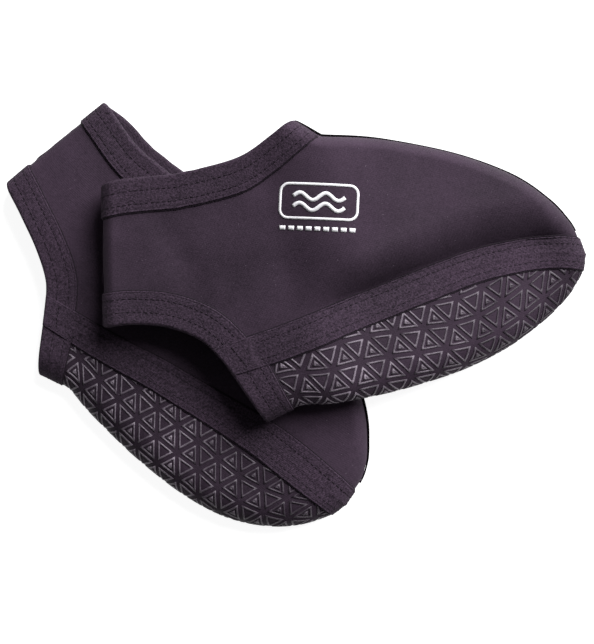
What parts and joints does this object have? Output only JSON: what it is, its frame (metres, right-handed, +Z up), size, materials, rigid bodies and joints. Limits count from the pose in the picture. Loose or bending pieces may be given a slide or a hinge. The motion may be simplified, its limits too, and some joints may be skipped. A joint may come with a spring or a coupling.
{
  "type": "neoprene boots",
  "caption": "Pair of low-cut neoprene water boots with an open heel and heel strap, bound edges, taped sole seam and printed grip sole, lying flat one over the other.",
  "frame": {"origin": "on the floor, under the centre of the box that holds the pair as it lies", "axes": "+Z up from the floor, +X towards the toe of the front boot and along the pair's long side, +Y towards the ankle openings"},
  "size_m": [0.3069, 0.2199, 0.0428],
  "materials": {
    "neoprene": "smooth knitted nylon jersey bonded to neoprene foam, very dark aubergine grey, matt with a faint sheen",
    "tape": "ribbed stretch binding tape, dark aubergine grey, slightly coarser grain than the panels",
    "thread": "matt polyester sewing thread, near black",
    "seam": "black glued and blind-stitched butt seam",
    "grip": "printed grey silicone grip, satin, worn to uneven brightness",
    "emblem": "white heat-transfer print"
  },
  "bodies": {
    "rear_boot": {"rear_upper": "neoprene", "rear_sole": "neoprene", "rear_sole_tape": "tape", "rear_ankle_binding": "tape", "rear_heel_binding": "tape", "rear_sole_binding": "tape", "rear_vamp_seam": "seam", "rear_grip_print": "grip", "rear_ankle_stitching": "thread", "rear_heel_stitching": "thread", "rear_sole_stitching": "thread", "rear_tape_stitching": "thread", "rear_bartacks": "thread", "rear_emblem": "emblem"},
    "front_boot": {"front_upper": "neoprene", "front_sole": "neoprene", "front_sole_tape": "tape", "front_ankle_binding": "tape", "front_heel_binding": "tape", "front_sole_binding": "tape", "front_vamp_seam": "seam", "front_grip_print": "grip", "front_ankle_stitching": "thread", "front_heel_stitching": "thread", "front_sole_stitching": "thread", "front_tape_stitching": "thread", "front_bartacks": "thread", "front_emblem": "emblem"}
  },
  "joints": [
    {"name": "front_boot_lift", "type": "slide", "parent": "rear_boot", "child": "front_boot", "axis": [0, 0, 1], "range_m": [0, 0.15]}
  ]
}
